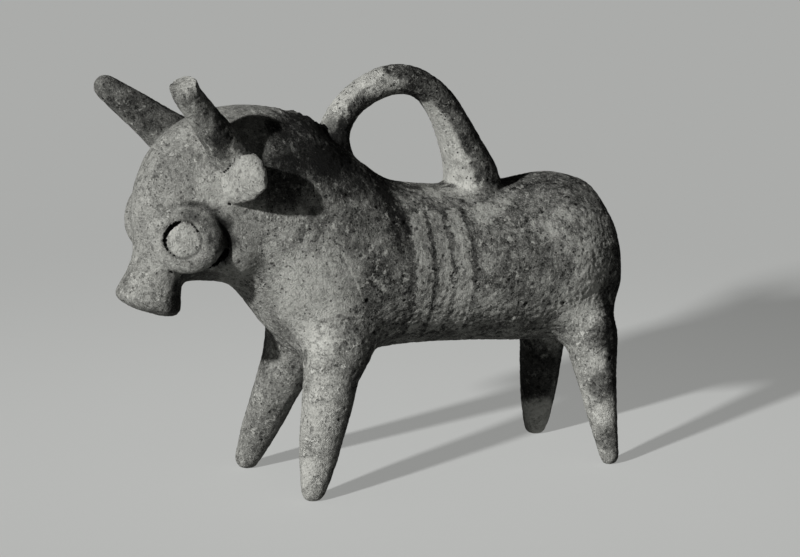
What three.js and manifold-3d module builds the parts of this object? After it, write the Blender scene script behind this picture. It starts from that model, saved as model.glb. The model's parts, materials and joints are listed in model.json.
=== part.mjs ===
// Hollow ceramic bull vessel: a barrel body on four cone legs, a thick neck, a head that pours
// through its muzzle, and a finger loop over the back. Every hand-formed piece is one solid.
// Millimetres, +Z up, the head towards -X and the bull's left side towards -Y.

import Module from 'manifold-3d';
import * as THREE from 'three';
import { mergeVertices } from 'three/addons/utils/BufferGeometryUtils.js';

// Clay thickness, and the gap that stands for the soft clay between two luted pieces.
const WALL = 5.5;
const LUTE_GAP = 0.3;

// Sections of the trunk in order from the rump to the lip of the muzzle. Each pairs a point of
// the back line with the point of the belly line across from it, both as [place along X, height],
// and gives the width between the flanks. The middle of the four feet is at X = 0.
const TRUNK = {
  rump: { back: [51, 95.8], belly: [60, 41.5], width: 45 },
  croup: { back: [45, 96.8], belly: [45, 40], width: 51 },
  loin: { back: [30, 95.3], belly: [30, 40.8], width: 52 },
  waist: { back: [12, 95], belly: [12, 42.4], width: 52 },
  girth: { back: [-5, 96.4], belly: [-7, 43.6], width: 52 },
  shoulder: { back: [-18, 100], belly: [-27, 43], width: 53 },
  withers: { back: [-28, 107], belly: [-44, 44], width: 54 },
  neckRoot: { back: [-37, 114], belly: [-56.5, 49.6], width: 52 },
  midNeck: { back: [-50, 123.2], belly: [-65, 60.5], width: 48 },
  nape: { back: [-65, 126.8], belly: [-73.5, 68.8], width: 44, spread: 0.05 },
  poll: { back: [-80, 126], belly: [-81, 70.3], width: 39, spread: 0.15 },
  crown: { back: [-91, 121.5], belly: [-86, 70.8], width: 33, spread: 0.15 },
  brow: { back: [-100, 113.8], belly: [-88.5, 71], width: 27, spread: 0.1 },
  forehead: { back: [-105.2, 102], belly: [-89.8, 71], width: 23 },
  bridge: { back: [-106, 90], belly: [-90.6, 70.8], width: 21 },
  muzzleRoot: { back: [-105.4, 81.5], belly: [-91, 69.8], width: 20 },
  muzzleNeck: { back: [-107.2, 77], belly: [-91.3, 66.5], width: 20 },
  lip: { back: [-112, 69], belly: [-91.2, 61.5], width: 22.5 },
};
const RUMP_ROUNDING = 13.8;
const LIP_ROUNDING = 3.4;

// Holes of the vessel: the pouring hole up through the muzzle and the filling hole in the neck,
// which has a low collar.
const SPOUT_BORE = 7;
const FILLER_BORE = 8;
const COLLAR_WALL = 1.9;
const COLLAR_RISE = 0.9;
const COLLAR_EDGE = 1;
const COLLAR_FORWARD = 8;

// Legs. The root lies off the belly point of a trunk section, the foot lies off the root, both
// along X and Y, and the radii run down the leg.
const FRONT_LEG = { section: 'withers', root: [5.2, 11.5], splay: [-16.7, 14.1] };
const HIND_LEG = { section: 'croup', root: [7.8, 14], splay: [2.7, 11.6] };
const LEGS = {
  front_left: { ...FRONT_LEG, radii: [15, 12.3, 9.3, 8.1, 6.5, 4.1] },
  front_right: { ...FRONT_LEG, radii: [15, 12.3, 9.3, 7.7, 6.2, 4.1] },
  hind_left: { ...HIND_LEG, radii: [10.4, 9.6, 7.8, 5.9, 4.7, 3.4] },
  hind_right: { ...HIND_LEG, radii: [10.4, 9.6, 7.8, 6.9, 6, 4] },
};
const THIGH_DROPS = [-10, -2, 6, 18];
const SHANK_HEIGHTS = [13, 2.6];
const FOOT_ROUNDING = 3.2;

// Horns: the left one is broken short, the right one keeps its round tip. The seat is measured in
// degrees down from the back line, and the tip from the seat.
const HORNS = {
  left: { degrees: 52, tip: [-18.8, 7.2, 21.2], radii: [6.8, 5.6, 4.7, 4.1], rounding: 1 },
  right: { degrees: 60, tip: [-24.5, 6.8, 20], radii: [9, 7.2, 5.4, 3.8], rounding: 3.6 },
};
const HORN_DEPTH = 7;

// Ears, seated behind and below the horns.
const EAR_DEGREES = 76;
const EAR_REACH = [3.6, 11.2, 5];
const EAR_DEPTH = 5;
const EAR_HEIGHTS = [11, 13.5, 15, 13];
const EAR_THICKNESS = 5;
const EAR_ROUNDING = 3;

// Eyes: a disc of clay with a pellet pressed into it, a little forward of its middle.
const EYES = {
  left: { degrees: 104, proud: 3.3 },
  right: { degrees: 93, proud: 3.8 },
};
const EYE_FACING = [-0.45, 0.88, 0.12];
const EYE_RADIUS = 11.6;
const EYE_EDGE = 3;
const EYE_DEPTH = 7;
const PELLET_RADIUS = 6;
const PELLET_FORWARD = 2;
const PELLET_DOME = 1.6;

// Finger loop from the neck to the back: the places of its middle line are measured from the
// point halfway between its two feet, and the loop is wide across the back, deep along its bend.
const LOOP = {
  frontFoot: { place: [-22.4, 0.5], wide: 15, deep: 14 },
  frontRise: { place: [-22.6, 11], wide: 12, deep: 10.4 },
  frontBend: { place: [-16.3, 20.5], wide: 11, deep: 9.8 },
  topFront: { place: [-5, 26.4], wide: 11.5, deep: 10.2 },
  topRear: { place: [3, 27], wide: 12, deep: 10.2 },
  rearBend: { place: [9.8, 24.8], wide: 12, deep: 9.6 },
  rearFall: { place: [16.2, 19], wide: 13, deep: 10.4 },
  rearFlare: { place: [21, 11], wide: 15, deep: 11.8 },
  rearSpread: { place: [25, 2.5], wide: 18, deep: 14 },
  rearFoot: { place: [28.5, -7], wide: 22, deep: 18 },
  rearRoot: { place: [29.5, -14], wide: 22, deep: 18 },
};

// Tail: a strip of clay pressed down the middle of the rump.
const TAIL_WIDE = 6.4;
const TAIL_TIP_WIDE = 4.6;
const TAIL_DEEP = 5;
const TAIL_ROUNDING = 3;
const TAIL_START_DEGREES = 12;
const TAIL_END_DEGREES = -45;

// Smoothness of the curved forms, and the rounding of an end that is hidden in the clay.
const TRUNK_AROUND = 36;
const TRUNK_ALONG = 48;
const CAVITY_AROUND = 16;
const CAVITY_ALONG = 24;
const LOOP_ALONG = 28;
const LIMB_ALONG = 10;
const LIMB_AROUND = 12;
const TURNED_AROUND = 20;
const CAP_STEPS = 3;
const TAIL_STATIONS = 7;
const HIDDEN_END = 1;
const HALVINGS = 30;

const SIDES = { left: -1, right: 1 };
const ACROSS = new THREE.Vector3(0, 1, 0);
const UPWARD = new THREE.Vector3(0, 0, 1);
const FAR = 400;

const wasm = await Module();
wasm.setup();

// A closed geometry as a solid that can be joined and cut.
function toSolid(geometry) {
  const bare = geometry.clone();
  bare.deleteAttribute('normal');
  bare.deleteAttribute('uv');
  const merged = mergeVertices(bare, 1e-4);
  const corners = merged.index.array;
  const kept = [];
  for (let i = 0; i < corners.length; i += 3) {
    const [a, b, c] = corners.slice(i, i + 3);
    if (a !== b && b !== c && c !== a) kept.push(a, b, c);
  }
  const mesh = new wasm.Mesh({
    numProp: 3,
    vertProperties: new Float32Array(merged.attributes.position.array),
    triVerts: new Uint32Array(kept),
  });
  return new wasm.Manifold(mesh);
}

function toGeometry(solid) {
  const mesh = solid.getMesh();
  const geometry = new THREE.BufferGeometry();
  geometry.setAttribute('position', new THREE.BufferAttribute(mesh.vertProperties, 3));
  geometry.setIndex(new THREE.BufferAttribute(mesh.triVerts, 1));
  geometry.computeVertexNormals();
  return geometry;
}

// One closed clay form: a capsule drawn out along a line of oval sections. frameAt gives the
// section at 0 to 1 along the line, and grow swells the form, or shrinks it where negative.
function drawnForm(frameAt, { around, along, startCap, endCap }, grow = 0) {
  const capsule = new THREE.CapsuleGeometry(1, 1, CAP_STEPS, around, along);
  const corners = capsule.attributes.position;
  const corner = new THREE.Vector3();
  for (let i = 0; i < corners.count; i++) {
    corner.fromBufferAttribute(corners, i);
    const level = THREE.MathUtils.clamp(corner.y, -0.5, 0.5);
    const past = corner.y - level;
    const cap = past < 0 ? startCap : endCap;
    const frame = frameAt(level + 0.5);
    const place = frame.centre.clone();
    const spread = 1 + frame.spread * corner.z;
    place.addScaledVector(frame.side, corner.x * spread * (frame.halfWidth + grow));
    place.addScaledVector(frame.up, corner.z * (frame.halfDepth + grow));
    place.addScaledVector(frame.tangent, past * (cap + grow));
    corners.setXYZ(i, place.x, place.y, place.z);
  }
  return toSolid(capsule);
}

// The trunk's section lines, each from the named sections in order.
const sectionNames = Object.keys(TRUNK);
const sections = Object.values(TRUNK);
const lineThrough = (points) => new THREE.CatmullRomCurve3(points);
const backLine = lineThrough(sections.map(({ back: [x, z] }) => new THREE.Vector3(x, 0, z)));
const bellyLine = lineThrough(sections.map(({ belly: [x, z] }) => new THREE.Vector3(x, 0, z)));
const girthLine = lineThrough(
  sections.map(({ width, spread = 0 }, i) => new THREE.Vector3(i, width, spread)),
);

function trunkFrame(t) {
  const back = backLine.getPoint(t);
  const belly = bellyLine.getPoint(t);
  const up = back.clone().sub(belly);
  const halfDepth = up.length() / 2;
  up.normalize();
  const girth = girthLine.getPoint(t);
  return {
    centre: back.add(belly).multiplyScalar(0.5),
    side: ACROSS,
    up,
    tangent: up.clone().cross(ACROSS),
    halfWidth: girth.y / 2,
    halfDepth,
    spread: girth.z,
  };
}

const sectionPlace = (name) => sectionNames.indexOf(name) / (sections.length - 1);

// A point of the trunk's skin on a named section, degrees down from the back line.
function onTrunk(name, degrees, sign = 1) {
  const frame = trunkFrame(sectionPlace(name));
  const angle = THREE.MathUtils.degToRad(degrees);
  const point = frame.centre.clone();
  point.addScaledVector(frame.up, Math.cos(angle) * frame.halfDepth);
  const spread = 1 + frame.spread * Math.cos(angle);
  point.addScaledVector(frame.side, sign * Math.sin(angle) * spread * frame.halfWidth);
  return point;
}

const trunkShape = {
  around: TRUNK_AROUND,
  along: TRUNK_ALONG,
  startCap: RUMP_ROUNDING,
  endCap: LIP_ROUNDING,
};
const trunk = drawnForm(trunkFrame, trunkShape);
const trunkSeat = drawnForm(trunkFrame, trunkShape, LUTE_GAP);

// The hollow inside follows the trunk at one wall's distance, as far as the muzzle's root.
const cavityEnd = sectionPlace('muzzleRoot');
const cavityShape = {
  around: CAVITY_AROUND,
  along: CAVITY_ALONG,
  startCap: RUMP_ROUNDING,
  endCap: WALL,
};
const cavity = drawnForm((t) => trunkFrame(t * cavityEnd), cavityShape, -WALL);

// A limb: a drawn form through given places, with its wide way along one axis.
function limb(stations, shape, grow = 0) {
  const { wideAxis, startCap = HIDDEN_END, endCap = HIDDEN_END, along = LIMB_ALONG } = shape;
  const places = lineThrough(stations.map(({ at }) => at));
  const girths = lineThrough(stations.map(({ wide, deep }, i) => new THREE.Vector3(wide, deep, i)));
  const frameAt = (t) => {
    const tangent = places.getTangent(t);
    const side = wideAxis.clone().addScaledVector(tangent, -wideAxis.dot(tangent)).normalize();
    const girth = girths.getPoint(t);
    return {
      centre: places.getPoint(t),
      side,
      up: side.clone().cross(tangent),
      tangent,
      halfWidth: girth.x / 2,
      halfDepth: girth.y / 2,
      spread: 0,
    };
  };
  return drawnForm(frameAt, { around: LIMB_AROUND, along, startCap, endCap }, grow);
}

// All of space on one side of a plane.
function beyond(point, direction) {
  const block = new THREE.BoxGeometry(FAR, FAR, FAR);
  block.translate(0, 0, FAR / 2);
  block.applyQuaternion(new THREE.Quaternion().setFromUnitVectors(UPWARD, direction));
  block.translate(point.x, point.y, point.z);
  return toSolid(block);
}

// Two halves of space that meet in a named section of the trunk, a luting gap apart.
function partAt(name) {
  const { centre, tangent } = trunkFrame(sectionPlace(name));
  const halfGap = tangent.clone().multiplyScalar(LUTE_GAP / 2);
  return {
    headSide: beyond(centre.clone().add(halfGap), tangent),
    tailSide: beyond(centre.clone().sub(halfGap), tangent.clone().negate()),
  };
}

// A rod that stands upright over a place along X.
function upright(radius, bottom, top, x) {
  const rod = new THREE.CylinderGeometry(radius, radius, top - bottom, TURNED_AROUND);
  rod.rotateX(Math.PI / 2);
  rod.translate(x, 0, (top + bottom) / 2);
  return toSolid(rod);
}

// A closed profile turned about an axis that points along a direction from a point.
function turned(profile, point, direction) {
  const lathe = new THREE.LatheGeometry(profile, TURNED_AROUND);
  lathe.applyQuaternion(new THREE.Quaternion().setFromUnitVectors(ACROSS, direction));
  lathe.translate(point.x, point.y, point.z);
  return toSolid(lathe);
}

// Half the profile of a round button, with a quarter-round edge of its own width and height.
function buttonProfile(radius, bottom, top, edgeWide, edgeHigh) {
  const profile = [new THREE.Vector2(0, bottom), new THREE.Vector2(radius, bottom)];
  for (let i = 0; i <= CAP_STEPS; i++) {
    const rise = (i / CAP_STEPS) * (Math.PI / 2);
    const out = radius - edgeWide * (1 - Math.cos(rise));
    profile.push(new THREE.Vector2(out, top - edgeHigh * (1 - Math.sin(rise))));
  }
  if (edgeWide < radius) profile.push(new THREE.Vector2(0, top));
  return profile;
}

// Where along the trunk the back line reaches a place along X.
function backPlaceAt(x) {
  let rear = 0;
  let front = 1;
  for (let i = 0; i < HALVINGS; i++) {
    const half = (rear + front) / 2;
    if (backLine.getPoint(half).x > x) rear = half;
    else front = half;
  }
  return rear;
}

// Holes: the spout rises through the middle of the muzzle into the head, and the filling hole
// drops through the neck in front of the finger loop.
const muzzleRoot = trunkFrame(cavityEnd).centre;
const spoutX = (trunkFrame(1).centre.x + muzzleRoot.x) / 2;
const spoutHole = upright(SPOUT_BORE / 2, 0, muzzleRoot.z + WALL / 2, spoutX);
const loopFrontFoot = onTrunk('neckRoot', 0);
const loopRearFoot = onTrunk('waist', 0);
const fillerX = loopFrontFoot.x - COLLAR_FORWARD;
const fillerBottom = loopFrontFoot.z - 2 * WALL;
const fillerHole = upright(FILLER_BORE / 2, fillerBottom, FAR, fillerX);

const shell = trunk.subtract(cavity).subtract(spoutHole).subtract(fillerHole);
const neckJoint = partAt('withers');
const headJoint = partAt('nape');
const muzzleJoint = partAt('muzzleRoot');

const pieces = new THREE.Group();
const tones = { body: 0x6f706a, head: 0x77776f, limb: 0x7d7d75, detail: 0x82827a };

function addPiece(name, solid, tone) {
  const material = new THREE.MeshStandardMaterial({ color: tones[tone], roughness: 0.95, metalness: 0 });
  const mesh = new THREE.Mesh(toGeometry(solid), material);
  mesh.name = name;
  pieces.add(mesh);
}

addPiece('body_shell', shell.intersect(neckJoint.tailSide), 'body');
addPiece('neck_shell', shell.intersect(neckJoint.headSide).intersect(headJoint.tailSide), 'body');
addPiece('head_shell', shell.intersect(headJoint.headSide).intersect(muzzleJoint.tailSide), 'head');
addPiece('muzzle_spout', shell.intersect(headJoint.headSide).intersect(muzzleJoint.headSide), 'head');

// The collar lies on the slope of the neck, around the upright filling hole.
const collarRadius = FILLER_BORE / 2 + COLLAR_WALL;
const collarPlace = backPlaceAt(fillerX);
const collarAxis = ACROSS.clone().cross(backLine.getTangent(collarPlace));
const collarSeat = backLine.getPoint(collarPlace);
const collarPost = (gap) => {
  const profile = buttonProfile(collarRadius + gap, -WALL, COLLAR_RISE + gap, COLLAR_EDGE, COLLAR_EDGE);
  return turned(profile, collarSeat, collarAxis);
};
addPiece('filler_collar', collarPost(0).subtract(fillerHole).subtract(trunkSeat), 'detail');

// The finger loop is seated on the neck, on the back and against the collar.
const loopMiddle = loopFrontFoot.clone().add(loopRearFoot).multiplyScalar(0.5);
const loopStations = Object.values(LOOP).map(({ place: [x, z], wide, deep }) => ({
  at: new THREE.Vector3(loopMiddle.x + x, 0, loopMiddle.z + z),
  wide,
  deep,
}));
const loopForm = limb(loopStations, { wideAxis: ACROSS, along: LOOP_ALONG });
addPiece('finger_loop', loopForm.subtract(trunkSeat).subtract(collarPost(LUTE_GAP)), 'limb');

// Legs stand on small flats and are cut to the belly.
const ground = beyond(new THREE.Vector3(), UPWARD);
for (const [name, leg] of Object.entries(LEGS)) {
  const sign = name.endsWith('left') ? SIDES.left : SIDES.right;
  const [bellyX, bellyZ] = TRUNK[leg.section].belly;
  const heights = [...THIGH_DROPS.map((drop) => bellyZ - drop), ...SHANK_HEIGHTS];
  const rootZ = heights[0];
  const legHeight = rootZ - heights.at(-1);
  const stations = leg.radii.map((radius, i) => {
    const down = (rootZ - heights[i]) / legHeight;
    const x = bellyX + leg.root[0] + down * leg.splay[0];
    const y = sign * (leg.root[1] + down * leg.splay[1]);
    return { at: new THREE.Vector3(x, y, heights[i]), wide: 2 * radius, deep: 2 * radius };
  });
  const form = limb(stations, { wideAxis: ACROSS, endCap: FOOT_ROUNDING });
  addPiece(`leg_${name}`, form.intersect(ground).subtract(trunkSeat), 'limb');
}

// Stations spaced evenly from a seat in the clay out to a reach beyond it.
function outward(seat, reach, depth, widths, depths = widths) {
  const start = seat.clone().add(reach.clone().setLength(-depth));
  const run = reach.clone().setLength(reach.length() + depth);
  return widths.map((wide, i) => ({
    at: start.clone().addScaledVector(run, i / (widths.length - 1)),
    wide,
    deep: depths[i],
  }));
}

for (const [side, sign] of Object.entries(SIDES)) {
  const mirrored = ([x, y, z]) => new THREE.Vector3(x, sign * y, z);

  // Horn.
  const horn = HORNS[side];
  const hornGirths = horn.radii.map((radius) => 2 * radius);
  const hornSeat = onTrunk('poll', horn.degrees, sign);
  const hornStations = outward(hornSeat, mirrored(horn.tip), HORN_DEPTH, hornGirths);
  const hornShape = { wideAxis: ACROSS, endCap: horn.rounding };
  addPiece(`horn_${side}`, limb(hornStations, hornShape).subtract(trunkSeat), 'head');

  // Ear, a rounded tab that stands out from the head and is cut to the horn above it.
  const earDepths = EAR_HEIGHTS.map(() => EAR_THICKNESS);
  const earSeat = onTrunk('poll', EAR_DEGREES, sign);
  const earStations = outward(earSeat, mirrored(EAR_REACH), EAR_DEPTH, EAR_HEIGHTS, earDepths);
  const earShape = { wideAxis: UPWARD, endCap: EAR_ROUNDING };
  const earForm = limb(earStations, earShape).subtract(limb(hornStations, hornShape, LUTE_GAP));
  addPiece(`ear_${side}`, earForm.subtract(trunkSeat), 'detail');

  // Eye disc and pellet, turned about lines that run side by side through the eye.
  const eye = EYES[side];
  const facing = mirrored(EYE_FACING).normalize();
  const eyeSeat = onTrunk('brow', eye.degrees, sign);
  const forward = UPWARD.clone().cross(facing).multiplyScalar(sign).normalize();
  const pelletSeat = eyeSeat.clone().addScaledVector(forward, PELLET_FORWARD);
  const discProfile = buttonProfile(EYE_RADIUS, -EYE_DEPTH, eye.proud, EYE_EDGE, EYE_EDGE);
  const disc = turned(discProfile, eyeSeat, facing).subtract(trunkSeat);
  const holeRadius = PELLET_RADIUS + LUTE_GAP;
  const holeProfile = buttonProfile(holeRadius, -2 * EYE_DEPTH, 2 * EYE_DEPTH, 0, 0);
  addPiece(`eye_ring_${side}`, disc.subtract(turned(holeProfile, pelletSeat, facing)), 'head');
  const pelletTop = eye.proud + LUTE_GAP;
  const pelletProfile = buttonProfile(PELLET_RADIUS, -EYE_DEPTH, pelletTop, PELLET_RADIUS, PELLET_DOME);
  const pellet = turned(pelletProfile, pelletSeat, facing).subtract(trunkSeat);
  addPiece(`eye_pellet_${side}`, pellet, 'detail');
}

// The tail runs down the rounding of the rump and thins towards its tip.
const rumpFrame = trunkFrame(0);
const tailStations = [];
for (let i = 0; i < TAIL_STATIONS; i++) {
  const down = i / (TAIL_STATIONS - 1);
  const degrees = THREE.MathUtils.lerp(TAIL_START_DEGREES, TAIL_END_DEGREES, down);
  const angle = THREE.MathUtils.degToRad(degrees);
  const at = rumpFrame.centre.clone();
  at.addScaledVector(rumpFrame.up, Math.sin(angle) * rumpFrame.halfDepth);
  at.addScaledVector(rumpFrame.tangent, -Math.cos(angle) * RUMP_ROUNDING);
  tailStations.push({ at, wide: THREE.MathUtils.lerp(TAIL_WIDE, TAIL_TIP_WIDE, down), deep: TAIL_DEEP });
}
const tailEnds = { startCap: TAIL_ROUNDING, endCap: TAIL_ROUNDING };
const tailForm = limb(tailStations, { wideAxis: ACROSS, ...tailEnds });
addPiece('tail', tailForm.subtract(trunkSeat), 'limb');

// The origin is under the middle of the whole vessel.
const bounds = new THREE.Box3().setFromObject(pieces);
const middle = bounds.getCenter(new THREE.Vector3());
pieces.position.set(-middle.x, -middle.y, -bounds.min.z);

export default pieces;
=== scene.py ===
import json
import math

import bmesh
import bpy
import numpy as np
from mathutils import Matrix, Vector, noise
from mathutils.bvhtree import BVHTree

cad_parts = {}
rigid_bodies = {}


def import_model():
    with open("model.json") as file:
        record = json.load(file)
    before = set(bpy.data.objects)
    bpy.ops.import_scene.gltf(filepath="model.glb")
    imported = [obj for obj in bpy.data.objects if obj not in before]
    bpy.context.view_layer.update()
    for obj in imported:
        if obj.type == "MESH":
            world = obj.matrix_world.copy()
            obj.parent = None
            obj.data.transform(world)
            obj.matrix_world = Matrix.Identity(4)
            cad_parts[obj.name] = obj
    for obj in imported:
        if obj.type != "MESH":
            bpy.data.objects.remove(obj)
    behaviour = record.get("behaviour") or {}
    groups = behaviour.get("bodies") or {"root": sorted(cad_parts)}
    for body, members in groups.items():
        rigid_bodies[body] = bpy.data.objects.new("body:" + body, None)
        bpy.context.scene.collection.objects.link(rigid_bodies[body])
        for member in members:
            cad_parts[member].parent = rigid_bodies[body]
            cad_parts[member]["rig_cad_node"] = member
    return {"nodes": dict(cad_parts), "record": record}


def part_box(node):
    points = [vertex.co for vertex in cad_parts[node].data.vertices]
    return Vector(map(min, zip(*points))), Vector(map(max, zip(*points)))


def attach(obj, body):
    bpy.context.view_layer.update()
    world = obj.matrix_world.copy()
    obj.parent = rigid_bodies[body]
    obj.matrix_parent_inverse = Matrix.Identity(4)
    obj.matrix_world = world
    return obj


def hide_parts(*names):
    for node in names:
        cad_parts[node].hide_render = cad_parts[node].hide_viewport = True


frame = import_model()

for thing in list(bpy.context.scene.objects):
    if thing.name in ("Cube", "Light", "Camera"):
        bpy.data.objects.remove(thing)
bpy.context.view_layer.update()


# The raw pot. The potter built the barrel, neck and head as hollow shells, luted legs, horns,
# ears, eyes, loop and tail on with wet clay, and wiped the joints smooth. So one skin of clay
# is drawn over all the solids here, and it is cut into its pieces in the sections below.
GRAIN = 0.0005
LUTING = 0.00025
SAME_POINT = 1e-6
BURIED = 0.0012
LABEL_ROUNDS = 6
SMOOTHING_ROUNDS = 70
SEAM_ROUNDS = 8
SEAM_GIVE = 0.7
JOINT_REACH = 0.013
JOINT_EDGE = 0.01
GIVE = {
    # how far each part gives way as the pot is wiped smooth; the shells give way fully
    "horn": 0.1,
    "ear": 0.16,
    "eye": 0.12,
    "filler": 0.25,
    "tail": 0.25,
    "muzzle": 0.45,
    "leg": 0.45,
    "finger": 0.5,
}


def half_sphere(count):
    """Directions spread evenly over the half sphere round +Z."""
    turn = math.pi * (3 - math.sqrt(5))
    for step in range(count):
        rise = 0.05 + 0.95 * (step + 0.5) / count
        reach = math.sqrt(1 - rise * rise)
        yield Vector((reach * math.cos(turn * step), reach * math.sin(turn * step), rise))


node_names = sorted(frame["nodes"])
solids = bmesh.new()
owner = []
for index, name in enumerate(node_names):
    solid = bmesh.new()
    solid.from_mesh(frame["nodes"][name].data)
    bmesh.ops.remove_doubles(solid, verts=solid.verts, dist=SAME_POINT)
    solid.normal_update()
    for vert in solid.verts:
        vert.co += vert.normal * LUTING
    swollen = bpy.data.meshes.new(name)
    solid.to_mesh(swollen)
    solids.from_mesh(swollen)
    owner += [index] * len(swollen.polygons)
    solid.free()
    bpy.data.meshes.remove(swollen)
solids.faces.ensure_lookup_table()
owner = np.array(owner)

# A face is bare where some straight line leads from it into the open.
LOOKS = 24
LOOK_START = 0.0001
everywhere = BVHTree.FromBMesh(solids)
bare_faces = []
for face in solids.faces:
    start = face.calc_center_median() + face.normal * LOOK_START
    upright = face.normal.to_track_quat("Z", "Y")
    for direction in half_sphere(LOOKS):
        if everywhere.ray_cast(start, upright @ direction)[0] is None:
            bare_faces.append(face.index)
            break
corners = [vert.co.copy() for vert in solids.verts]
triangles = [[vert.index for vert in solids.faces[i].verts] for i in bare_faces]
outside = BVHTree.FromPolygons(corners, triangles)

solid_mesh = bpy.data.meshes.new("solids")
solids.to_mesh(solid_mesh)
solids.free()
pot = bpy.data.objects.new("pot", solid_mesh)
bpy.context.collection.objects.link(pot)
remesh = pot.modifiers.new("one skin", "REMESH")
remesh.mode = "VOXEL"
remesh.voxel_size = GRAIN
graph = bpy.context.evaluated_depsgraph_get()
skin = bpy.data.meshes.new_from_object(pot.evaluated_get(graph))
pot.modifiers.clear()
pot.data = skin


def read(values, attribute, width):
    """A mesh's numbers as an array with one row for each element."""
    numbers = np.empty(len(values) * width, np.float32 if attribute != "vertices" else np.int32)
    values.foreach_get(attribute, numbers)
    return numbers.reshape(-1, width)


place = read(skin.vertices, "co", 3).astype(np.float64)
ends = read(skin.edges, "vertices", 2)
count = len(place)
valence = np.bincount(ends.ravel(), minlength=count)


def spread(values):
    """Each vertex's mean over its neighbours."""
    columns = [
        np.bincount(ends[:, 0], column[ends[:, 1]], count)
        + np.bincount(ends[:, 1], column[ends[:, 0]], count)
        for column in values.T
    ]
    return np.stack(columns, 1) / valence[:, None]


# Each point of the skin belongs to the node whose solid is nearest to it.
nearest_bare = [outside.find_nearest(point) for point in place]
inside = np.array([hit[3] for hit in nearest_bare]) > BURIED
label = owner[np.array(bare_faces)[[hit[2] for hit in nearest_bare]]]
for i in np.nonzero(inside)[0]:
    label[i] = owner[everywhere.find_nearest(place[i])[2]]
shares = (label[:, None] == np.arange(len(node_names))).astype(np.float32)
for _ in range(LABEL_ROUNDS):
    shares = spread(shares)
label = shares.argmax(1)


def belongs(start):
    """1 where the skin belongs to a node whose name starts so, else 0."""
    chosen = [i for i, name in enumerate(node_names) if name.startswith(start)]
    return np.isin(label, chosen).astype(float)


def settle(values, rounds):
    """One value for each vertex, evened out over its neighbours."""
    column = values[:, None]
    for _ in range(rounds):
        column = spread(column)
    return column[:, 0]


# Wet clay wiped over the whole pot. The seam is 1 where a shell meets what is luted to it.
give = np.ones(count)
for start, softness in GIVE.items():
    give += belongs(start) * (softness - 1)
seam = settle(belongs("body") + belongs("neck") + belongs("head"), SEAM_ROUNDS)
seam = 4 * seam * (1 - seam)
give = np.maximum(settle(give, LABEL_ROUNDS), SEAM_GIVE * seam)[:, None]
for _ in range(SMOOTHING_ROUNDS):
    place += 0.5 * give * (spread(place) - place)

# The joints of the legs were wiped further, so only the skin round them settles here.
joint_rounds = int((JOINT_REACH / GRAIN) ** 2 / 5)
wiped = settle(belongs("leg"), joint_rounds)
wiped = np.minimum(6 * wiped * (1 - wiped), 1)
chosen = np.nonzero(wiped > JOINT_EDGE)[0]
number = np.full(count, -1)
number[chosen] = np.arange(len(chosen))
joined = number[ends[(number[ends] >= 0).all(1)]]
joined = np.concatenate([joined, joined[:, ::-1]])
neighbours = np.maximum(np.bincount(joined[:, 0], minlength=len(chosen)), 1)
for _ in range(4 * joint_rounds):
    here = place[chosen]
    for axis in range(3):
        mean = np.bincount(joined[:, 0], here[joined[:, 1], axis], len(chosen)) / neighbours
        place[chosen, axis] += 0.8 * wiped[chosen] * (mean - here[:, axis])
skin.vertices.foreach_set("co", place.astype(np.float32).ravel())
skin.update()
outward = np.array(read(skin.vertex_normals, "vector", 3), np.float64)
place -= outward * LUTING


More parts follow.
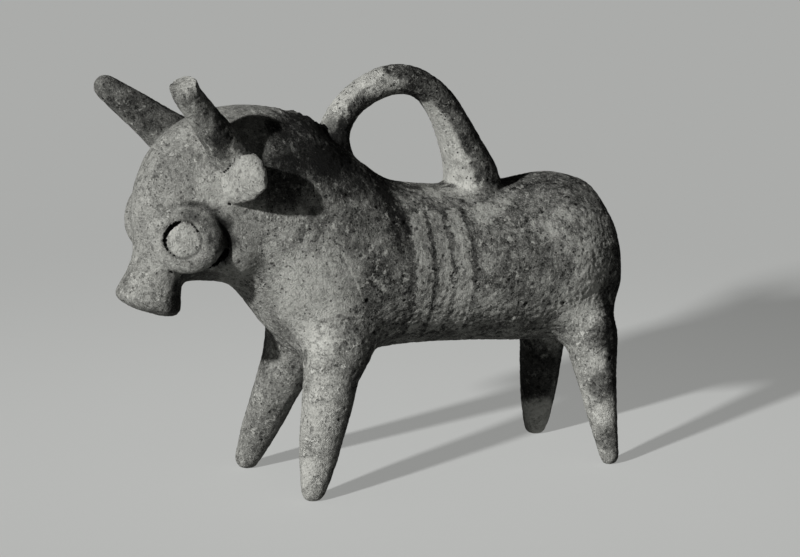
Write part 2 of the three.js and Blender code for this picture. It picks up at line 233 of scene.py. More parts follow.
# The surface of the pot. Fingers left low waves in the clay, grit fell out and left pits, and
# lime from the ground stuck on as a rough crust. Each part has its own tone, from 0 for the
# black patina to 1 for the palest clay, and its own share of mottling.
PARTS = {
    # tone, mottling, roughness
    "body": (0.56, 0.95, 1.0),
    "neck": (0.68, 0.7, 0.8),
    "head": (0.71, 0.42, 0.5),
    "muzzle": (0.68, 0.55, 0.9),
    "filler": (0.25, 0.7, 2.4),
    "finger": (0.32, 0.8, 0.8),
    "leg": (0.7, 0.5, 0.6),
    "tail": (0.3, 0.7, 0.6),
    "horn": (0.56, 0.6, 0.7),
    "ear": (0.8, 0.4, 1.4),
    "eye": (0.72, 0.45, 0.4),
}
PATCHES = [
    # middle, reach along X, Y and Z, all in millimetres, then the change of tone
    # The first four patches darken the top of the neck and the withers: partly their dark patina,
    # partly painted shade, deepest where the horn and the ear cast their shadow.
    ((-28, -12, 115), (24, 15, 15), -0.54),
    ((-45, -20, 105), (14, 10, 11), -0.45),
    ((-22, -18, 105), (14, 12, 11), -0.36),
    ((-10, -14, 98), (10, 10, 8), -0.3),
    ((2, -8, 100), (16, 14, 8), -0.34),
    ((-3, -20, 88), (5, 9, 16), -0.42),
    ((-20, -24, 88), (9, 9, 10), -0.16),
    ((-35, -21, 64), (15, 12, 24), 0.3),
    ((-42, -20, 82), (10, 9, 12), 0.08),
    ((20, -23, 60), (20, 9, 8), 0.12),
    ((54, -23, 81), (4, 6, 4), 0.2),
    ((68, -25, 71), (7, 8, 8), 0.28),
    ((48, -24, 66), (5, 8, 3), 0.14),
    ((60, -21, 86), (6, 7, 3), 0.16),
    ((-14, -25, 70), (8, 8, 14), -0.1),
    ((28, -26, 72), (4, 6, 4), 0.16),
    ((32, -24, 59), (7, 8, 6), 0.12),
    ((4, -14, 94), (6, 6, 4), 0.3),
    ((31, -17, 88), (5, 6, 5), 0.3),
    ((64, -24, 55), (11, 9, 14), 0.3),
    ((17, -25, 70), (7, 8, 18), 0.1),
    ((-84, 21, 129), (9, 9, 7), -0.14),
    ((-32, -21, 34), (12, 10, 26), 0.14),
    ((62, -22, 80), (14, 9, 12), 0.12),
    # These two darken the rump's rear and its near edge: painted shade on the side turned from the
    # lamp.
    ((83, -20, 58), (6, 9, 28), -0.35),
    ((93, -4, 68), (14, 26, 46), -0.55),
    # Painted shade on the rear of the near hind leg.
    ((77, -26, 44), (8, 8, 9), -0.26),
    ((-34, -25, 8), (8, 8, 9), 0.1),
    # Painted shade on the outer side of the left eye's ring.
    ((-65, -17, 87), (5, 5, 10), -0.25),
    ((66, -23, 60), (9, 9, 12), 0.2),
    ((58, -6, 95), (18, 10, 5), -0.12),
    ((-75, -11, 109), (11, 9, 10), -0.1),
    ((-66, -19, 101), (8, 7, 10), 0.12),
    ((-70, -16, 96), (9, 6, 4), -0.2),
    # Painted shadow behind the left eye's ring.
    ((-62, -17, 87), (3.5, 6, 9), -0.3),
    ((-66, -24, 124), (4, 7, 14), -0.36),
    ((-78, -24, 130), (4, 6, 10), 0.2),
    ((-66, 16, 125), (24, 7, 10), -0.2),
    # These two darken the underside of the muzzle and the jaw: painted shade.
    ((-75, -9, 66), (5, 7, 9), -0.5),
    ((-66, -6, 73), (9, 9, 5), -0.34),
    ((1, -6, 131), (10, 6, 5), 0.55),
    ((25, -9, 94), (16, 7, 3.5), 0.3),
    ((37, -15, 89), (4, 5, 4), 0.3),
    # The far hind leg: painted shade over its upper part, and painted light with a pale crust on
    # its foot.
    ((70, 18, 26), (12, 10, 18), -0.55),
    ((73, 20, 5), (7, 9, 11), 0.9),
    ((-34, 18, 24), (9, 10, 28), -0.1),
    # Painted shade down the rear of the near hind leg.
    ((77, -24, 42), (3.5, 7, 24), -0.4),
    ((71, -25, 37), (6, 6, 4), 0.2),
    ((72, -26, 27), (6, 6, 5), -0.25),
    ((73, -27, 18), (5, 5, 4), 0.18),
    ((74, -27, 9), (5, 5, 5), -0.2),
]
PATCH_EDGE = (0.55, 1.1)
PART_BLEND = 0.01


def ramp(value, low, high):
    """0 below low, 1 above high, with a smooth step between."""
    share = np.clip((value - low) / (high - low), 0, 1)
    return share * share * (3 - 2 * share)


tone, mottle, roughness = np.zeros(count), np.zeros(count), np.zeros(count)
for start, (part_tone, part_mottle, part_roughness) in PARTS.items():
    mine = belongs(start)
    tone += mine * part_tone
    mottle += mine * part_mottle
    roughness += mine * part_roughness
for axis in range(3):
    outward[:, axis] = settle(outward[:, axis], 5)
outward /= np.linalg.norm(outward, axis=1)[:, None]
rounds = int(PART_BLEND / GRAIN)
tone, mottle, roughness = (settle(values, rounds) for values in (tone, mottle, roughness))
roughness *= 1 - inside

# The patches have ragged edges, because each point looks them up a little beside its place.
# Noise vectors take their start from the clock unless they are given a seed.
DRIFT = (1.8, 0.004)
FINE_DRIFT = (1.1, 0.0014)
DRIFT_SEED = 11
noise.seed_set(DRIFT_SEED)
millimetres = place * 1000
drift = []
for point in place:
    coarse = DRIFT[0] * noise.noise_vector(Vector(point) / DRIFT[1])
    drift.append(coarse + FINE_DRIFT[0] * noise.noise_vector(Vector(point) / FINE_DRIFT[1]))
drift = np.array(drift)
for middle, reach, change in PATCHES:
    gap = np.linalg.norm((millimetres + drift - middle) / reach, axis=1)
    tone += change * (1 - ramp(gap, *PATCH_EDGE))

# Fingers wore the loop smooth in front, and the front faces that turn to the lamp are painted
# paler: partly wear, partly painted light. Hands wore the chest smooth.
LOOP_EDGE = (0.38, 0.52)
LOOP_WEAR_AND_PAINTED_LIGHT = 0.56
LOOP_CALMER = 0.4
CHEST = ((-33, -20, 62), (18, 14, 26))
CHEST_EDGE = (0.5, 1.1)
CHEST_CALMER = 0.3
CHEST_SMOOTHER = 0.4
forward = -outward[:, 0] + 0.25 * outward[:, 2] + 0.06 * drift[:, 1]
loop_front_wear_and_light = settle(belongs("finger") * ramp(forward, *LOOP_EDGE), 2)
tone += LOOP_WEAR_AND_PAINTED_LIGHT * loop_front_wear_and_light
mottle -= LOOP_CALMER * loop_front_wear_and_light
gap = np.linalg.norm((millimetres - CHEST[0]) / CHEST[1], axis=1)
chest = 1 - ramp(gap, *CHEST_EDGE)
mottle -= CHEST_CALMER * chest
roughness *= 1 - CHEST_SMOOTHER * chest

# The legs are darker behind: painted shade on the side turned from the lamp. They are also darker,
# more mottled and rougher towards the barrel.
LEG_REAR = (0.3, 0.75)
LEG_REAR_PAINTED_SHADE = 0.3
UPPER_LEG = (28, 46)
UPPER_LEG_DARKER = 0.16
UPPER_LEG_MOTTLE = 0.35
UPPER_LEG_ROUGHER = 0.3
tone -= LEG_REAR_PAINTED_SHADE * belongs("leg") * ramp(outward[:, 0], *LEG_REAR)
upper_leg = belongs("leg") * ramp(millimetres[:, 2], *UPPER_LEG)
tone -= UPPER_LEG_DARKER * upper_leg
mottle += UPPER_LEG_MOTTLE * upper_leg
roughness += UPPER_LEG_ROUGHER * upper_leg

# The jaw and the poll swell a little on the left, and the horns are a coat of clay thicker.
HORN_COAT = 0.0003
SWELLS = [
    # middle and reach in millimetres, then the swell in metres
    ((-57, -14, 80), (10, 9, 13), 0.0034),
    ((-36, -5, 126), (4, 6, 3), 0.0009),
]
SWELL_EDGE = (0.2, 1.1)
LEFT_SIDE = (0.1, 0.7)
relief = HORN_COAT * belongs("horn")
for middle, reach, height in SWELLS:
    gap = np.linalg.norm((millimetres - middle) / reach, axis=1)
    left_side = ramp(-outward[:, 1] + 0.4 * outward[:, 2], *LEFT_SIDE)
    relief += height * (1 - ramp(gap, *SWELL_EDGE)) * left_side

# Two faint dark bands slant over the left shoulder.
STROKES = [
    # start and end in millimetres along X and Z, half width, change of tone
    ((-34, 95), (-42, 82), 1.0, -0.18),
    ((-30, 93), (-37, 80), 0.8, -0.12),
]
STROKE_EDGE = 0.6
across_flank = millimetres[:, ::2]
for start, end, half_width, change in STROKES:
    along = np.array(end, float) - start
    share = np.clip((across_flank - start) @ along / (along @ along), 0, 1)
    gap = np.linalg.norm(across_flank - start - share[:, None] * along, axis=1)
    line = 1 - ramp(gap, half_width, half_width + STROKE_EDGE)
    tone += change * line * (outward[:, 1] < 0)

# Waves, crust and pits, as real relief.
WAVE_HEIGHT = 0.00022
WAVE_LENGTH = 0.011
RIPPLE_LENGTH = 0.0045
CRUST_HEIGHT = 0.0002
CRUST_GRAIN = 0.0015
PIT_DEPTH = 0.0005
PIT_SPACING = 0.0024
PITTED_FROM = 0.6


def pit_at(point):
    """How deep a lost grain's pit is here, from 0 to 1."""
    gaps, centres = noise.voronoi(point / PIT_SPACING)
    luck = noise.cell(centres[0] * 7.3)
    if luck < PITTED_FROM:
        return 0
    reach = 0.05 + 0.6 * (luck - PITTED_FROM)
    return min(max((reach + 0.06 - gaps[0]) / 0.12, 0), 1)


pits = np.zeros(count)
for i in np.nonzero(~inside)[0]:
    point = Vector(place[i])
    waves = noise.noise(point / WAVE_LENGTH) + 0.4 * noise.noise(point / RIPPLE_LENGTH)
    lumps = noise.fractal(point / CRUST_GRAIN, 0.7, 2.1, 3)
    crust = min(max(0.5 + 1.4 * lumps, 0), 1)
    pits[i] = pit_at(point) * (0.3 + 0.7 * min(1, roughness[i]))
    relief[i] += WAVE_HEIGHT * waves + roughness[i] * CRUST_HEIGHT * crust - PIT_DEPTH * pits[i]

# The pellet of each eye was pressed into its ring, which left a groove round it. The ring
# rises in a thick roll at the rear, and runs out flat at the front. The roll is darkened at the
# rear as painted shade, and the crease behind it as a painted shadow.
HALF_IN_MM = 500
EYE_DEPTH = (7, 10)
PELLET_RADIUS = 5.7
PELLET_PALER = 0.18
GROOVE_DEPTH = 0.0006
GROOVE_WIDTH = 0.5
ROLL_HEIGHT = 0.0011
ROLL_START = 8.5
ROLL_WIDTH = 3.5
ROLL_PAINTED_SHADE = 0.18
CREASE_DEPTH = 0.0007
CREASE_WIDTH = 0.9
CREASE_BEYOND = 0.6
CREASE_PAINTED_SHADOW = 0.3
grooves = np.zeros(count)
for side in ("left", "right"):
    middle = sum(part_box(f"eye_pellet_{side}"), Vector()) * HALF_IN_MM
    ring_low, ring_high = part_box(f"eye_ring_{side}")
    ring_radius = (ring_high - ring_low).z * HALF_IN_MM
    axis = Vector(outward[belongs(f"eye_pellet_{side}") > 0].mean(0)).normalized()
    rearward = axis.cross((0, 0, 1)).normalized()
    rearward *= math.copysign(1, rearward.x)
    upward = axis.cross(rearward)
    upward *= math.copysign(1, upward.z)
    ahead = (millimetres - middle) @ np.array(rearward)
    above = (millimetres - middle) @ np.array(upward)
    depth = np.abs((millimetres - middle) @ np.array(axis))
    near = (1 - ramp(depth, *EYE_DEPTH)) * (1 - inside)
    radius = np.hypot(ahead, above)
    turn = np.arctan2(above, ahead)
    uneven = PELLET_RADIUS + 0.14 * np.cos(4 * turn + 0.5) + 0.16 * np.cos(3 * turn + 2)
    groove = near * np.exp(-(((radius - uneven) / GROOVE_WIDTH) ** 2))
    grooves += groove
    rear = near * ramp(np.cos(turn), -0.6, 0.6)
    shift = (Vector(ring_low + ring_high) * HALF_IN_MM - middle).dot(rearward)
    ring = np.hypot(ahead - shift, above)
    roll = 1 - ramp(ring, ring_radius - ROLL_WIDTH, ring_radius)
    roll *= ramp(radius, PELLET_RADIUS, ROLL_START)
    crease = np.exp(-(((ring - ring_radius - CREASE_BEYOND) / CREASE_WIDTH) ** 2))
    relief += rear * (ROLL_HEIGHT * roll - CREASE_DEPTH * crease) - GROOVE_DEPTH * groove
    tone += PELLET_PALER * near * (1 - ramp(radius, PELLET_RADIUS - 1, PELLET_RADIUS))
    tone -= rear * (ROLL_PAINTED_SHADE * roll + CREASE_PAINTED_SHADOW * crease)
place += outward * relief[:, None]

# The left horn broke off square, and its end is rough and pale.
HORN_LINE = (-0.43, -0.3, 0.85)
HORN_LOST = 0.003
HORN_JAGGED = 0.0005
HORN_BREAK_GRAIN = 0.0022
HORN_BREAK_PALER = 0.15
horn_line = np.array(HORN_LINE) / np.linalg.norm(HORN_LINE)
along_horn = place @ horn_line
horn = belongs("horn_left") > 0
broken = horn & (along_horn > along_horn[horn].max() - HORN_LOST)
horn_end = along_horn[broken].max()
jagged = [HORN_JAGGED * noise.noise(Vector(point) / HORN_BREAK_GRAIN) for point in place[broken]]
place[broken] += (horn_end - along_horn[broken] + jagged)[:, None] * horn_line
tone[broken] += HORN_BREAK_PALER

# The feet stand on the table, and nothing reaches below it.
place[:, 2] = np.maximum(place[:, 2], 0)

# The pieces keep these normals of the whole skin, so that no edge shows where they are cut.
skin.vertices.foreach_set("co", place.astype(np.float32).ravel())
skin.update()
final_normals = read(skin.vertex_normals, "vector", 3)
marks = {"tone": tone, "mottle": mottle, "pits": pits + grooves, "hollow": inside}
for name, values in marks.items():
    skin.attributes.new(name, "FLOAT", "POINT").data.foreach_set("value", values.astype(np.float32))
skin.attributes.new("smoothed", "FLOAT_VECTOR", "POINT").data.foreach_set(
    "vector", final_normals.ravel()
)

# Each face goes to the node that most of its corners belong to.
skin_faces = read(skin.polygons, "vertices", 4)
face_owner = np.sort(label[skin_faces], 1)[:, 1]
for name in node_names:
    skin.materials.append(bpy.data.materials.new(name))
skin.polygons.foreach_set("material_index", face_owner.astype(np.int32))
skin.polygons.foreach_set("use_smooth", np.ones(len(skin.polygons), bool))
bpy.context.view_layer.objects.active = pot
pot.select_set(True)
bpy.ops.object.mode_set(mode="EDIT")
bpy.ops.mesh.separate(type="MATERIAL")
bpy.ops.object.mode_set(mode="OBJECT")
pieces = {}
for piece in list(bpy.context.collection.objects):
    if piece.type == "MESH" and "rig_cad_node" not in piece:
        shown = piece.data.polygons[0].material_index
        pieces[piece.data.materials[shown].name] = piece
for material in list(bpy.data.materials):
    bpy.data.materials.remove(material)

# The walls inside the shells keep a small share of their faces, and each cut edge is closed.
HOLLOW_SHARE = 0.06
RING_REACH = 0.009


def rims(form):
    """The open rims of a bmesh, each as its edges and its middle."""
    waiting = dict.fromkeys(edge for edge in form.edges if edge.is_boundary)
    found = []
    while waiting:
        rim = []
        front = [waiting.popitem()[0]]
        while front:
            edge = front.pop()
            rim.append(edge)
            for vert in edge.verts:
                for other in vert.link_edges:
                    if other in waiting:
                        del waiting[other]
                        front.append(other)
        corners = dict.fromkeys(vert for edge in rim for vert in edge.verts)
        middle = sum((vert.co for vert in corners), Vector()) / len(corners)
        found.append((rim, middle))
    return found


def close(form):
    """Closes the rims: a ring of clay between two rims round one middle, else a plain cap."""
    open_rims = rims(form)
    while open_rims:
        rim, middle = open_rims.pop()
        gaps = [(other[1] - middle).length for other in open_rims]
        if gaps and min(gaps) < RING_REACH:
            mate = open_rims.pop(gaps.index(min(gaps)))
            bmesh.ops.bridge_loops(form, edges=rim + mate[0])
    for rim, middle in rims(form):
        peak = form.verts.new(middle)
        for edge in rim:
            corner = edge.link_loops[0]
            form.faces.new((corner.link_loop_next.vert, corner.vert, peak))


def finish_piece(name, material):
    """Makes one piece of the skin a closed piece of its own, in place of its CAD node."""
    piece = pieces[name]
    piece.name = name.replace("_shell", "").replace("_spout", "") + "_clay"
    piece.data.name = piece.name
    if name in ("body_shell", "neck_shell", "head_shell"):
        amounts = read(piece.data.attributes["hollow"].data, "value", 1)[:, 0]
        unseen = np.nonzero(amounts > 0.5)[0].tolist()
        piece.vertex_groups.new(name="unseen").add(unseen, 1, "REPLACE")
        plain = piece.modifiers.new("plain inside", "DECIMATE")
        plain.vertex_group = "unseen"
        plain.ratio = 1 - (1 - HOLLOW_SHARE) * len(unseen) / len(amounts)
        graph = bpy.context.evaluated_depsgraph_get()
        piece.data = bpy.data.meshes.new_from_object(piece.evaluated_get(graph))
        piece.modifiers.clear()
        piece.vertex_groups.clear()
    form = bmesh.new()
    form.from_mesh(piece.data)
    close(form)
    form.to_mesh(piece.data)
    form.free()
    piece.data.normals_split_custom_set_from_vertices(
        read(piece.data.attributes["smoothed"].data, "vector", 3)
    )
    piece.data.materials.clear()
    piece.data.materials.append(material)
    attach(piece, "root")
    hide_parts(name)


# The barrel and the neck. Hollow shells of coarse grey clay, built up by hand and wiped. They
# are pitted and crusted, and thin pale stripes were brushed over each flank.
CLAY_TONES = [
    (0.0, 0.012),
    (0.25, 0.048),
    (0.45, 0.122),
    (0.62, 0.212),
    (0.8, 0.355),
    (1.0, 0.49),
]
CLAY_TINT = (1.0, 1.0, 0.925)
NOISES = {
    # repeats in a metre, detail, roughness, shift
    "clouds": (140, 2, 0.5, 0.31),
    "blotches": (520, 5, 0.65, 0.17),
    "speckle": (1900, 3, 0.75, 0.05),
    "crust": (330, 8, 0.74, 0.43),
    "bare": (430, 5, 0.7, 0.77),
}
CRUST_EDGE = (0.06, 0.085)
BARE_EDGE = (0.07, 0.13)
DOTS = {
    # repeats in a metre, reach, share of the cells that hold one
    "dark dots": (900, 0.32, 0.16),
    "bright dots": (1000, 0.32, 0.12),
}
MOTTLE_SHARES = {"blotches": 1.2, "clouds": 0.9, "crust": 0.5, "bare": -0.34}
DOT_SHARES = {"dark dots": -0.45, "bright dots": 0.3}
SPECKLE_LEAST = 0.4
SPECKLE_BY_MOTTLE = 1.1
PITS_PAINTED_SHADE = -0.3
ROUGHNESS_LEAST = 0.68
ROUGHNESS_BY_TONE = 0.25
HEIGHT_SHARES = {
    "speckle": 0.5,
    "blotches": 0.5,
    "crust": 0.32,
    "bare": -0.15,
    "dark dots": -0.5,
    "bright dots": 0.3,
}
STRIPES = [(2, 8), (9.7, 15), (17, 22.6)]
STRIPED = (-1, 24.5)
STRIPE_FOOT = 50
STRIPE_TOP = 90
STRIPE_INNER = 12
SCRATCH = ((-25, 81), (-17, 64))
SCRATCH_HALF_WIDTH = 0.3
NOWHERE = -9.0


def maths(tree, operation, *inputs):
    """A Math node: each input is a socket or a number."""
    node = tree.nodes.new("ShaderNodeMath")
    node.operation = operation
    for socket, value in zip(node.inputs, inputs):
        if isinstance(value, bpy.types.NodeSocket):
            tree.links.new(value, socket)
        else:
            socket.default_value = value
    return node.outputs[0]


def step_between(tree, value, low, high):
    """0 below low and 1 above high, as a socket."""
    node = tree.nodes.new("ShaderNodeMapRange")
    node.interpolation_type = "SMOOTHSTEP"
    node.inputs["From Min"].default_value = low
    node.inputs["From Max"].default_value = high
    tree.links.new(value, node.inputs["Value"])
    return node.outputs["Result"]


def weathering_group():
    """Weathered clay, as a colour, a height and a roughness."""
    group = bpy.data.node_groups.new("weathered clay", "ShaderNodeTree")
    for name in ("Tone", "Mottle", "Pits", "Grain", "Specks"):
        group.interface.new_socket(name, in_out="INPUT", socket_type="NodeSocketFloat")
    group.interface.new_socket("Colour", in_out="OUTPUT", socket_type="NodeSocketColor")
    group.interface.new_socket("Height", in_out="OUTPUT", socket_type="NodeSocketFloat")
    group.interface.new_socket("Roughness", in_out="OUTPUT", socket_type="NodeSocketFloat")
    nodes, links = group.nodes, group.links
    given = nodes.new("NodeGroupInput").outputs
    result = nodes.new("NodeGroupOutput").inputs
    where = nodes.new("ShaderNodeTexCoord").outputs["Object"]

    def grain(scale, detail, rough, shift):
        centre = nodes.new("ShaderNodeMapping")
        centre.inputs["Location"].default_value = (shift, -shift, 2 * shift)
        links.new(where, centre.inputs["Vector"])
        node = nodes.new("ShaderNodeTexNoise")
        node.inputs["Detail"].default_value = detail
        node.inputs["Roughness"].default_value = rough
        links.new(centre.outputs["Vector"], node.inputs["Vector"])
        links.new(maths(group, "MULTIPLY", given["Grain"], scale), node.inputs["Scale"])
        return maths(group, "SUBTRACT", node.outputs["Fac"], 0.5)

    def dots(scale, reach, share):
        node = nodes.new("ShaderNodeTexVoronoi")
        node.inputs["Scale"].default_value = scale
        links.new(where, node.inputs["Vector"])
        luck = nodes.new("ShaderNodeSeparateColor")
        links.new(node.outputs["Color"], luck.inputs[0])
        lucky = maths(group, "GREATER_THAN", luck.outputs[0], 1 - share)
        near = maths(group, "SUBTRACT", reach, node.outputs["Distance"])
        dot = step_between(group, near, 0, 0.08)
        return maths(group, "MULTIPLY", maths(group, "MULTIPLY", dot, lucky), given["Specks"])

    def sum_of(shares, start):
        total = start
        for name, share in shares.items():
            total = maths(group, "MULTIPLY_ADD", layers[name], share, total)
        return total

    layers = {name: grain(*noise_values) for name, noise_values in NOISES.items()}
    layers["crust"] = step_between(group, layers["crust"], *CRUST_EDGE)
    layers["bare"] = step_between(group, layers["bare"], *BARE_EDGE)
    for name, dot_values in DOTS.items():
        layers[name] = dots(*dot_values)
    mixed = sum_of(MOTTLE_SHARES, 0)
    level = maths(group, "MULTIPLY_ADD", mixed, given["Mottle"], given["Tone"])
    fine = maths(group, "MULTIPLY_ADD", given["Mottle"], SPECKLE_BY_MOTTLE, SPECKLE_LEAST)
    level = maths(group, "MULTIPLY_ADD", layers["speckle"], fine, level)
    level = sum_of(DOT_SHARES, level)
    # Pits and the eye grooves are darkened in colour: painted shade in these recesses.
    level = maths(group, "MULTIPLY_ADD", given["Pits"], PITS_PAINTED_SHADE, level)
    tones = nodes.new("ShaderNodeValToRGB")
    stops = tones.color_ramp.elements
    for stop, (position, albedo) in enumerate(CLAY_TONES):
        element = stops[stop] if stop < 2 else stops.new(position)
        element.position = position
        element.color = [albedo * share for share in CLAY_TINT] + [1]
    links.new(level, tones.inputs["Fac"])
    links.new(tones.outputs["Color"], result["Colour"])
    links.new(sum_of(HEIGHT_SHARES, 0), result["Height"])
    dullness = maths(group, "MULTIPLY_ADD", level, ROUGHNESS_BY_TONE, ROUGHNESS_LEAST)
    links.new(dullness, result["Roughness"])
    return group


def mark(tree, name):
    """The number that each vertex carries under this name."""
    node = tree.nodes.new("ShaderNodeAttribute")
    node.attribute_name = name
    return node.outputs["Fac"]


weathering = weathering_group()


def clay_material(name, grain, specks, bump):
    """Fired clay with its own grain, specks and depth of relief."""
    material = bpy.data.materials.new(name)
    material.use_nodes = True
    tree = material.node_tree
    shader = tree.nodes["Principled BSDF"]
    surface = tree.nodes.new("ShaderNodeGroup")
    surface.node_tree = weathering
    surface.inputs["Grain"].default_value = grain
    surface.inputs["Specks"].default_value = specks
    for name, socket in (("tone", "Tone"), ("mottle", "Mottle"), ("pits", "Pits")):
        tree.links.new(mark(tree, name), surface.inputs[socket])
    relief = tree.nodes.new("ShaderNodeBump")
    relief.inputs["Distance"].default_value = bump
    tree.links.new(surface.outputs["Height"], relief.inputs["Height"])
    tree.links.new(surface.outputs["Colour"], shader.inputs["Base Color"])
    tree.links.new(surface.outputs["Roughness"], shader.inputs["Roughness"])
    tree.links.new(relief.outputs["Normal"], shader.inputs["Normal"])
    shader.inputs["Specular IOR Level"].default_value = 0.1
    return material


# The stripes and the scratch have ragged edges, and the clay between the stripes is darker.
RAGGED_SCALE = 520
STRIPE_RAGGED = 4.5
STRIPE_EDGE = (-0.2, 0.3)
STRIPE_PALER = 0.37
STRIPE_MOTTLE = -0.2
BETWEEN_DARKER = -0.18
SCRATCH_RAGGED = 1.2
SCRATCH_EDGE = (-0.15, 0.1)
SCRATCH_PALER = 0.35

flank_clay = clay_material("flank clay", grain=1.0, specks=1.0, bump=0.0016)
tree = flank_clay.node_tree
surface = tree.nodes["Group"]
ragged = tree.nodes.new("ShaderNodeTexNoise")
ragged.inputs["Scale"].default_value = RAGGED_SCALE
ragged.inputs["Detail"].default_value = 4
where = tree.nodes.new("ShaderNodeTexCoord")
tree.links.new(where.outputs["Object"], ragged.inputs["Vector"])
wobble = maths(tree, "SUBTRACT", ragged.outputs["Fac"], 0.5)
stripe_edge = maths(tree, "MULTIPLY_ADD", wobble, STRIPE_RAGGED, mark(tree, "stripe"))
scratch_edge = maths(tree, "MULTIPLY_ADD", wobble, SCRATCH_RAGGED, mark(tree, "scratch"))
brushed = step_between(tree, stripe_edge, *STRIPE_EDGE)
scored = step_between(tree, scratch_edge, *SCRATCH_EDGE)
level = maths(tree, "MULTIPLY_ADD", brushed, STRIPE_PALER, mark(tree, "tone"))
level = maths(tree, "MULTIPLY_ADD", mark(tree, "between"), BETWEEN_DARKER, level)
tree.links.new(maths(tree, "MULTIPLY_ADD", scored, SCRATCH_PALER, level), surface.inputs["Tone"])
calmed = maths(tree, "MULTIPLY_ADD", brushed, STRIPE_MOTTLE, 1)
tree.links.new(maths(tree, "MULTIPLY", calmed, mark(tree, "mottle")), surface.inputs["Mottle"])

for name in ("body_shell", "neck_shell"):
    spots = read(pieces[name].data.vertices, "co", 3) * 1000
    ends_off = np.minimum(spots[:, 2] - STRIPE_FOOT, STRIPE_TOP - spots[:, 2])
    ends_off = np.minimum(ends_off, np.abs(spots[:, 1]) - STRIPE_INNER)
    stripe = np.full(len(spots), NOWHERE)
    for start, end in STRIPES:
        edge = np.minimum(spots[:, 0] - start, end - spots[:, 0])
        stripe = np.maximum(stripe, np.minimum(edge, ends_off))
    across = np.minimum(spots[:, 0] - STRIPED[0], STRIPED[1] - spots[:, 0])
    start, end = np.array(SCRATCH, float)
    along = end - start
    seen = spots[:, ::2]
    share = np.clip((seen - start) @ along / (along @ along), 0, 1)
    gap = np.linalg.norm(seen - start - share[:, None] * along, axis=1)
    fields = {
        "stripe": stripe,
        "between": ramp(np.minimum(across, ends_off), -1, 1),
        "scratch": np.where(spots[:, 1] < 0, SCRATCH_HALF_WIDTH - gap, NOWHERE),
    }
    for field, values in fields.items():
        held = pieces[name].data.attributes.new(field, "FLOAT", "POINT")
        held.data.foreach_set("value", values.astype(np.float32))
    finish_piece(name, flank_clay)


# The head. A smaller shell with the pouring muzzle, two luted horns, the left one broken short,
# and a flat ring of clay round each eye. It was smoothed more than the barrel.
head_clay = clay_material("head clay", grain=1.05, specks=0.6, bump=0.0011)
for name in (
    "head_shell",
    "muzzle_spout",
    "horn_left",
    "horn_right",
    "eye_ring_left",
    "eye_ring_right",
):
    finish_piece(name, head_clay)


# The small parts in relief. The collar of the filling hole, the ears and the eye pellets are
# pinched from soft clay and pressed on. Their edges are worn pale.
relief_clay = clay_material("relief clay", grain=1.2, specks=0.8, bump=0.0011)
for name in ("filler_collar", "ear_left", "ear_right", "eye_pellet_left", "eye_pellet_right"):
    finish_piece(name, relief_clay)


# The finger loop. One rolled strip of clay, bent over the back and luted down at both ends. It
# is worn smooth in front and paler there, partly from wear and partly from painted light, and dark
# with bright grit at its sides.
loop_clay = clay_material("loop clay", grain=1.0, specks=1.3, bump=0.0011)
finish_piece("finger_loop", loop_clay)


# The legs and the tail. Solid tapered rolls of clay, luted under the barrel and on the rump.
# Their lower ends are worn and carry a pale crust.
leg_clay = clay_material("leg clay", grain=0.9, specks=0.5, bump=0.0012)
for name in ("leg_front_left", "leg_front_right", "leg_hind_left", "leg_hind_right", "tail"):
    finish_piece(name, leg_clay)


# The table top. A plain pale sheet runs under the vessel and far behind it. For the camera it
# glows, more near the vessel than far off: a painted pool of light.
TABLE_ALBEDO = (0.335, 0.34, 0.333, 1)
TABLE_GLOW = 0.28
TABLE_GLOW_FAR = 0.213
TABLE_GLOW_TINT = (1, 1.012, 0.985, 1)
TABLE_LIGHT_POOL_FALL = 0.5
TABLE_REACH = 8

table = bpy.data.meshes.new("table_top")
form = bmesh.new()
bmesh.ops.create_circle(form, cap_ends=True, segments=64, radius=TABLE_REACH)
form.to_mesh(table)
form.free()
table_top = bpy.data.objects.new("table_top", table)
bpy.context.collection.objects.link(table_top)
sheet = bpy.data.materials.new("pale sheet")
sheet.use_nodes = True
nodes, links = sheet.node_tree.nodes, sheet.node_tree.links
shader = nodes["Principled BSDF"]
shader.inputs["Base Color"].default_value = TABLE_ALBEDO
shader.inputs["Roughness"].default_value = 0.9
shader.inputs["Specular IOR Level"].default_value = 0.1
shader.inputs["Emission Color"].default_value = TABLE_GLOW_TINT
path = nodes.new("ShaderNodeLightPath")
away = nodes.new("ShaderNodeVectorMath")
away.operation = "LENGTH"
links.new(nodes.new("ShaderNodeTexCoord").outputs["Object"], away.inputs[0])
fall = nodes.new("ShaderNodeMapRange")
fall.interpolation_type = "SMOOTHERSTEP"
fall.inputs["From Min"].default_value = 0
fall.inputs["From Max"].default_value = TABLE_LIGHT_POOL_FALL
fall.inputs["To Min"].default_value = TABLE_GLOW
fall.inputs["To Max"].default_value = TABLE_GLOW_FAR
links.new(away.outputs["Value"], fall.inputs["Value"])
glow = nodes.new("ShaderNodeMath")
glow.operation = "MULTIPLY"
links.new(path.outputs["Is Camera Ray"], glow.inputs[0])
links.new(fall.outputs["Result"], glow.inputs[1])
links.new(glow.outputs[0], shader.inputs["Emission Strength"])
table.materials.append(sheet)


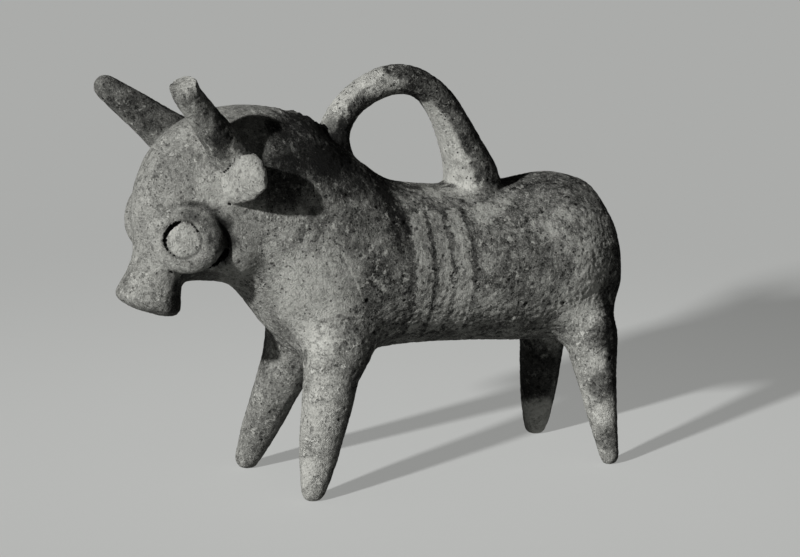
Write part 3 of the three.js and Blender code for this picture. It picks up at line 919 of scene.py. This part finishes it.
# The light. A studio lamp stands low at the front left and lights the vessel. The table has its
# own lamp, further round to the front, which draws the long shadow behind the vessel. The room
# gives a faint fill.
LAMPS = [
    # name, degrees from the vessel's front towards its left, height in degrees, strength, width
    ("vessel_lamp", 21.5, 24.5, 4.4, 2.0),
    ("table_lamp", 27.7, 16.5, 6.2, 3.5),
]
ROOM_LIGHT = 0.02

table_only = bpy.data.collections.new("table only")
table_only.objects.link(table_top)
vessel_only = bpy.data.collections.new("vessel only")
for piece in pieces.values():
    vessel_only.objects.link(piece)
for name, turn, lift, strength, width in LAMPS:
    lamp = bpy.data.lights.new(name, "SUN")
    lamp.energy = strength
    lamp.angle = math.radians(width)
    turn, lift = math.radians(turn), math.radians(lift)
    reach = math.cos(lift)
    travel = Vector((reach * math.cos(turn), reach * math.sin(turn), -math.sin(lift)))
    stand = bpy.data.objects.new(name, lamp)
    stand.rotation_euler = travel.to_track_quat("-Z", "Y").to_euler()
    stand.light_linking.receiver_collection = table_only if name == "table_lamp" else vessel_only
    bpy.context.collection.objects.link(stand)
room = bpy.data.worlds.new("room")
room.use_nodes = True
room.node_tree.nodes["Background"].inputs["Color"].default_value = (1, 1, 1, 1)
room.node_tree.nodes["Background"].inputs["Strength"].default_value = ROOM_LIGHT
bpy.context.scene.world = room


# The camera stands a little above the vessel, off its left shoulder, with a long lens.
CAMERA_AZIMUTH = -27.206
CAMERA_ELEVATION = 10.852
CAMERA_DISTANCE = 1.25
CAMERA_LENS = 169.49
AIM_FROM_FEET = Vector((-0.010648, 0, 0.064931))

feet = [mount["pos_m"] for mount in frame["record"]["mounts"]]
feet_middle = sum(foot[0] for foot in feet) / len(feet)
aim = AIM_FROM_FEET + Vector((feet_middle, 0, 0))
turn = math.radians(CAMERA_AZIMUTH)
lift = math.radians(CAMERA_ELEVATION)
back = Vector((math.sin(turn) * math.cos(lift), -math.cos(turn) * math.cos(lift), math.sin(lift)))
lens = bpy.data.cameras.new("camera")
lens.lens = CAMERA_LENS
lens.sensor_width = 36
lens.clip_start = 0.05
lens.clip_end = 40
camera = bpy.data.objects.new("camera", lens)
camera.location = aim + back * CAMERA_DISTANCE
camera.rotation_euler = (-back).to_track_quat("-Z", "Y").to_euler()
bpy.context.collection.objects.link(camera)
bpy.context.scene.camera = camera
bpy.context.scene.view_settings.view_transform = "Standard"
